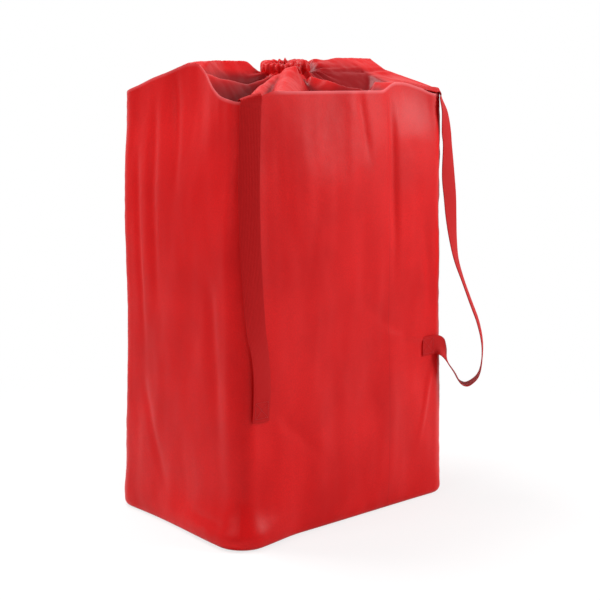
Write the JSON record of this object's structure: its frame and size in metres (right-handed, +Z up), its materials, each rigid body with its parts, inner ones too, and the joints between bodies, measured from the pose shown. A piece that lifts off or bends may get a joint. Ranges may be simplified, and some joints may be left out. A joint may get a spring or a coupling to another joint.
{
  "type": "drawstring equipment bag",
  "caption": "Tall box-shaped fabric bag stuffed full, its mouth drawn shut by a cord and lock, with two webbing shoulder straps on one wide face.",
  "frame": {"origin": "middle of the base, on the floor", "axes": "+Z up; -Y out of the wide panel that carries the straps; X along that panel"},
  "size_m": [0.6124, 0.4331, 0.8617],
  "materials": {
    "nylon": "matt woven nylon",
    "webbing": "ribbed webbing",
    "binding_tape": "woven tape",
    "cord": "braided cord",
    "lock_plastic": "moulded acetal",
    "spring_steel": "drawn wire"
  },
  "bodies": {
    "bag": {"front_panel": "nylon", "right_side_panel": "nylon", "back_panel": "nylon", "left_side_panel": "nylon", "base_panel": "nylon", "base_seam_binding": "binding_tape", "seam_binding_back_right": "binding_tape", "seam_binding_back_left": "binding_tape", "seam_binding_front_left": "binding_tape", "seam_binding_front_right": "binding_tape", "hem_casing": "nylon", "drawcord": "cord", "drawcord_coil": "cord", "cord_end_knot": "cord", "left_strap": "webbing", "right_strap_top": "webbing", "right_strap_end": "webbing", "left_anchor_patch": "nylon", "right_anchor_patch": "nylon"},
    "right_strap_loop": {"right_strap": "webbing"},
    "cord_lock": {"cord_lock_body": "lock_plastic", "cord_lock_spring": "spring_steel"},
    "lock_plunger": {"cord_lock_plunger": "lock_plastic"}
  },
  "joints": [
    {"name": "right_strap_swing", "type": "hinge", "parent": "bag", "child": "right_strap_loop", "pos_m": [0.247, -0.19, 0.3125], "axis": [0.0449, 0.0251, 0.9987], "range_deg": [-20, 20]},
    {"name": "cord_lock_slide", "type": "slide", "parent": "bag", "child": "cord_lock", "axis": [0.6262, 0.7463, -0.2255], "range_m": [0, 0.045]},
    {"name": "plunger_press", "type": "slide", "parent": "cord_lock", "child": "lock_plunger", "axis": [0.7796, -0.5995, 0.1812], "range_m": [0, 0.004], "stiffness_N_per_m": 900, "springref_m": -0.003, "deforming": ["cord_lock_spring"]}
  ]
}
